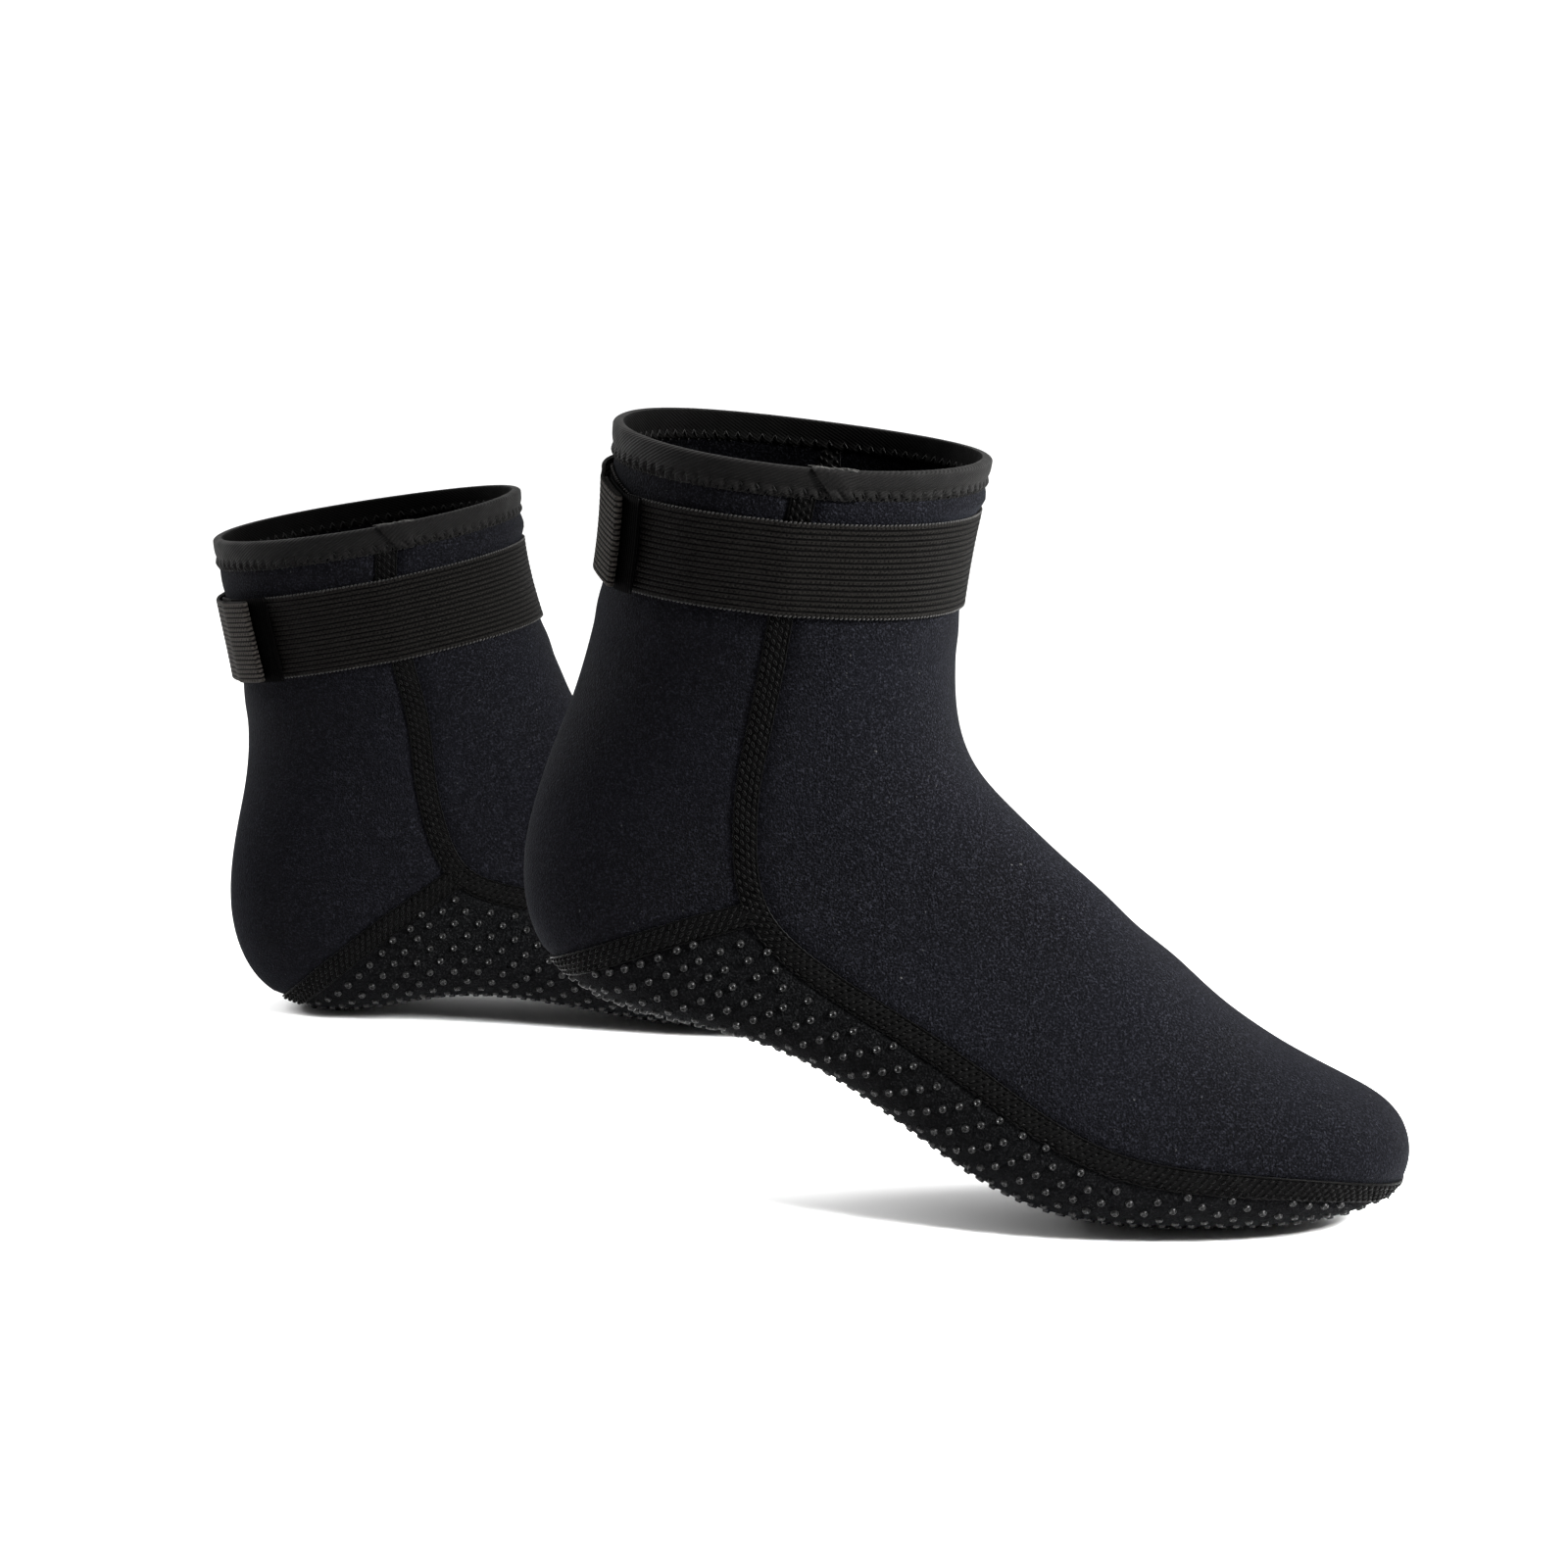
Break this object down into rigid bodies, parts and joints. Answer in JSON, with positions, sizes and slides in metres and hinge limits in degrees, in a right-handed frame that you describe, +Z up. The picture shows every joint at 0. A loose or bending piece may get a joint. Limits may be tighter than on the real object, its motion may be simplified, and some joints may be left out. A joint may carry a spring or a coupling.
{
  "type": "pair of neoprene boots",
  "caption": "Pair of ankle-high neoprene water boots with dotted grip soles, flatlock seams and an elastic ankle strap closed by a hook-and-loop tail.",
  "frame": {"origin": "on the ground, at the middle of the pair's outline seen from above", "axes": "+Z up; +X is where the toes point, less each boot's turn; the left boot is on the +Y side, the right boot on the -Y side"},
  "size_m": [0.3601, 0.3699, 0.2226],
  "materials": {
    "neoprene": "matt knitted jersey on foam",
    "sole_fabric": "matt knitted jersey on foam",
    "binding_tape": "matt stretch tape",
    "seam_thread": "flatlock thread",
    "thread": "polyester thread",
    "elastic": "ribbed woven elastic",
    "loop_tape": "napped",
    "hook_tape": "fine hooks",
    "grip_rubber": "glossy domes"
  },
  "bodies": {
    "left_boot": {"left_front_panel": "neoprene", "left_heel_panel": "neoprene", "left_sole_panel": "sole_fabric", "left_top_binding": "binding_tape", "left_binding_stitching": "thread", "left_lateral_seam": "seam_thread", "left_medial_seam": "seam_thread", "left_sole_seam": "seam_thread", "left_ankle_strap": "elastic", "left_strap_stitching": "thread", "left_loop_patch": "loop_tape", "left_tread_dots": "grip_rubber", "left_grip_dots": "grip_rubber"},
    "left_tail": {"left_strap_tail": "elastic", "left_hook_patch": "hook_tape"},
    "right_boot": {"right_front_panel": "neoprene", "right_heel_panel": "neoprene", "right_sole_panel": "sole_fabric", "right_top_binding": "binding_tape", "right_binding_stitching": "thread", "right_lateral_seam": "seam_thread", "right_medial_seam": "seam_thread", "right_sole_seam": "seam_thread", "right_ankle_strap": "elastic", "right_strap_stitching": "thread", "right_loop_patch": "loop_tape", "right_tread_dots": "grip_rubber", "right_grip_dots": "grip_rubber"},
    "right_tail": {"right_strap_tail": "elastic", "right_hook_patch": "hook_tape"}
  },
  "joints": [
    {"name": "right_lift", "type": "slide", "parent": "left_boot", "child": "right_boot", "axis": [0, 0, 1], "range_m": [0, 0.25]},
    {"name": "left_tail_peel", "type": "hinge", "parent": "left_boot", "child": "left_tail", "pos_m": [-0.16731, 0.15634, 0.11097], "axis": [-0.1766, 0.063, 0.9823], "range_deg": [-100, 0]},
    {"name": "right_tail_peel", "type": "hinge", "parent": "right_boot", "child": "right_tail", "pos_m": [-0.038, -0.08586, 0.1832], "axis": [0.0958, 0.0036, 0.9954], "range_deg": [-100, 0]}
  ]
}
